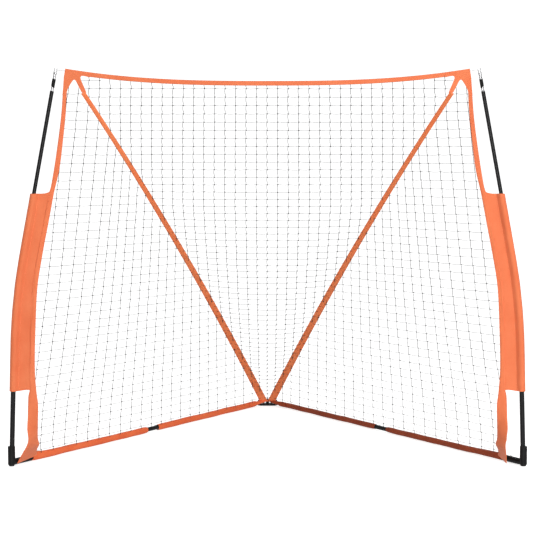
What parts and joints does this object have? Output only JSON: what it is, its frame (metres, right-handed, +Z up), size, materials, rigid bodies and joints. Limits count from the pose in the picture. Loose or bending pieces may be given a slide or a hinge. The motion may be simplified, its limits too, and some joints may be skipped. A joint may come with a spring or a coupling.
{
  "type": "portable goal net",
  "caption": "Fold-flat portable goal: V-shaped ground frame on a rear hinge hub, two bent side poles and an orange-edged net with a triangular plan.",
  "frame": {"origin": "on the floor at the centre of the bounding box", "axes": "+Z up, the open mouth faces -Y, the hinge hub is at +Y, +X runs across the mouth"},
  "size_m": [2.207, 1.538, 1.68],
  "materials": {
    "powder_coated_tube": "satin black powder coat",
    "fibreglass_pole": "smooth satin black",
    "bare_steel": "drawn, lightly brushed",
    "zinc_fastener": "zinc plated",
    "black_plastic": "moulded, fine grain",
    "grip_plastic": "matt",
    "rubber_pad": "matt",
    "orange_fabric": "woven polyester",
    "orange_webbing": "woven polyester tape",
    "orange_ground_fabric": "woven polyester, rolled",
    "black_netting": "knotted twine",
    "light_cord": "braided cord"
  },
  "bodies": {
    "hub": {"hub_top_plate": "powder_coated_tube", "hub_bottom_plate": "powder_coated_tube", "hub_spacer": "powder_coated_tube", "hub_bolts": "zinc_fastener", "hub_nuts": "zinc_fastener", "hub_foot_pad": "rubber_pad", "apex_patch": "orange_webbing", "left_back_net": "black_netting", "right_back_net": "black_netting", "left_top_band": "orange_webbing", "right_top_band": "orange_webbing"},
    "left_arm": {"left_foot_elbow": "black_plastic", "left_foot_pad": "rubber_pad", "left_elbow_screw": "zinc_fastener", "left_front_base_tube": "powder_coated_tube", "left_rear_base_tube": "powder_coated_tube", "left_base_coupler": "bare_steel", "left_snap_spring": "bare_steel", "left_pivot_fitting": "bare_steel", "left_pole_lower": "powder_coated_tube", "left_pole_middle": "fibreglass_pole", "left_pole_ferrule": "bare_steel", "left_pole_upper": "fibreglass_pole", "left_tip_rod": "bare_steel", "left_tip_grip": "grip_plastic", "left_tip_fork": "bare_steel", "left_corner_loop": "light_cord", "left_wing_sleeve": "orange_fabric", "left_post_band": "orange_fabric", "left_corner_gusset": "orange_fabric", "left_diagonal_strap": "orange_webbing", "left_front_ground_sleeve": "orange_ground_fabric", "left_rear_ground_sleeve": "orange_ground_fabric", "left_side_net": "black_netting"},
    "left_button": {"left_snap_button": "bare_steel"},
    "right_arm": {"right_foot_elbow": "black_plastic", "right_foot_pad": "rubber_pad", "right_elbow_screw": "zinc_fastener", "right_front_base_tube": "powder_coated_tube", "right_rear_base_tube": "powder_coated_tube", "right_base_coupler": "bare_steel", "right_snap_spring": "bare_steel", "right_pivot_fitting": "bare_steel", "right_pole_lower": "powder_coated_tube", "right_pole_middle": "fibreglass_pole", "right_pole_ferrule": "bare_steel", "right_pole_upper": "fibreglass_pole", "right_tip_rod": "bare_steel", "right_tip_grip": "grip_plastic", "right_tip_fork": "bare_steel", "right_corner_loop": "light_cord", "right_wing_sleeve": "orange_fabric", "right_post_band": "orange_fabric", "right_corner_gusset": "orange_fabric", "right_diagonal_strap": "orange_webbing", "right_front_ground_sleeve": "orange_ground_fabric", "right_rear_ground_sleeve": "orange_ground_fabric", "right_side_net": "black_netting"},
    "right_button": {"right_snap_button": "bare_steel"}
  },
  "joints": [
    {"name": "left_arm_fold", "type": "hinge", "parent": "hub", "child": "left_arm", "pos_m": [-0.03, 0.747, 0.016], "axis": [0, 0, 1], "range_deg": [0, 25]},
    {"name": "right_arm_fold", "type": "hinge", "parent": "hub", "child": "right_arm", "pos_m": [0.03, 0.747, 0.016], "axis": [0, 0, -1], "range_deg": [0, 25]},
    {"name": "left_button_press", "type": "slide", "parent": "left_arm", "child": "left_button", "axis": [0, 0, -1], "range_m": [0, 0.003], "stiffness_N_per_m": 1500, "springref_m": -0.002, "deforming": ["left_snap_spring"]},
    {"name": "right_button_press", "type": "slide", "parent": "right_arm", "child": "right_button", "axis": [0, 0, -1], "range_m": [0, 0.003], "stiffness_N_per_m": 1500, "springref_m": -0.002, "deforming": ["right_snap_spring"]}
  ]
}
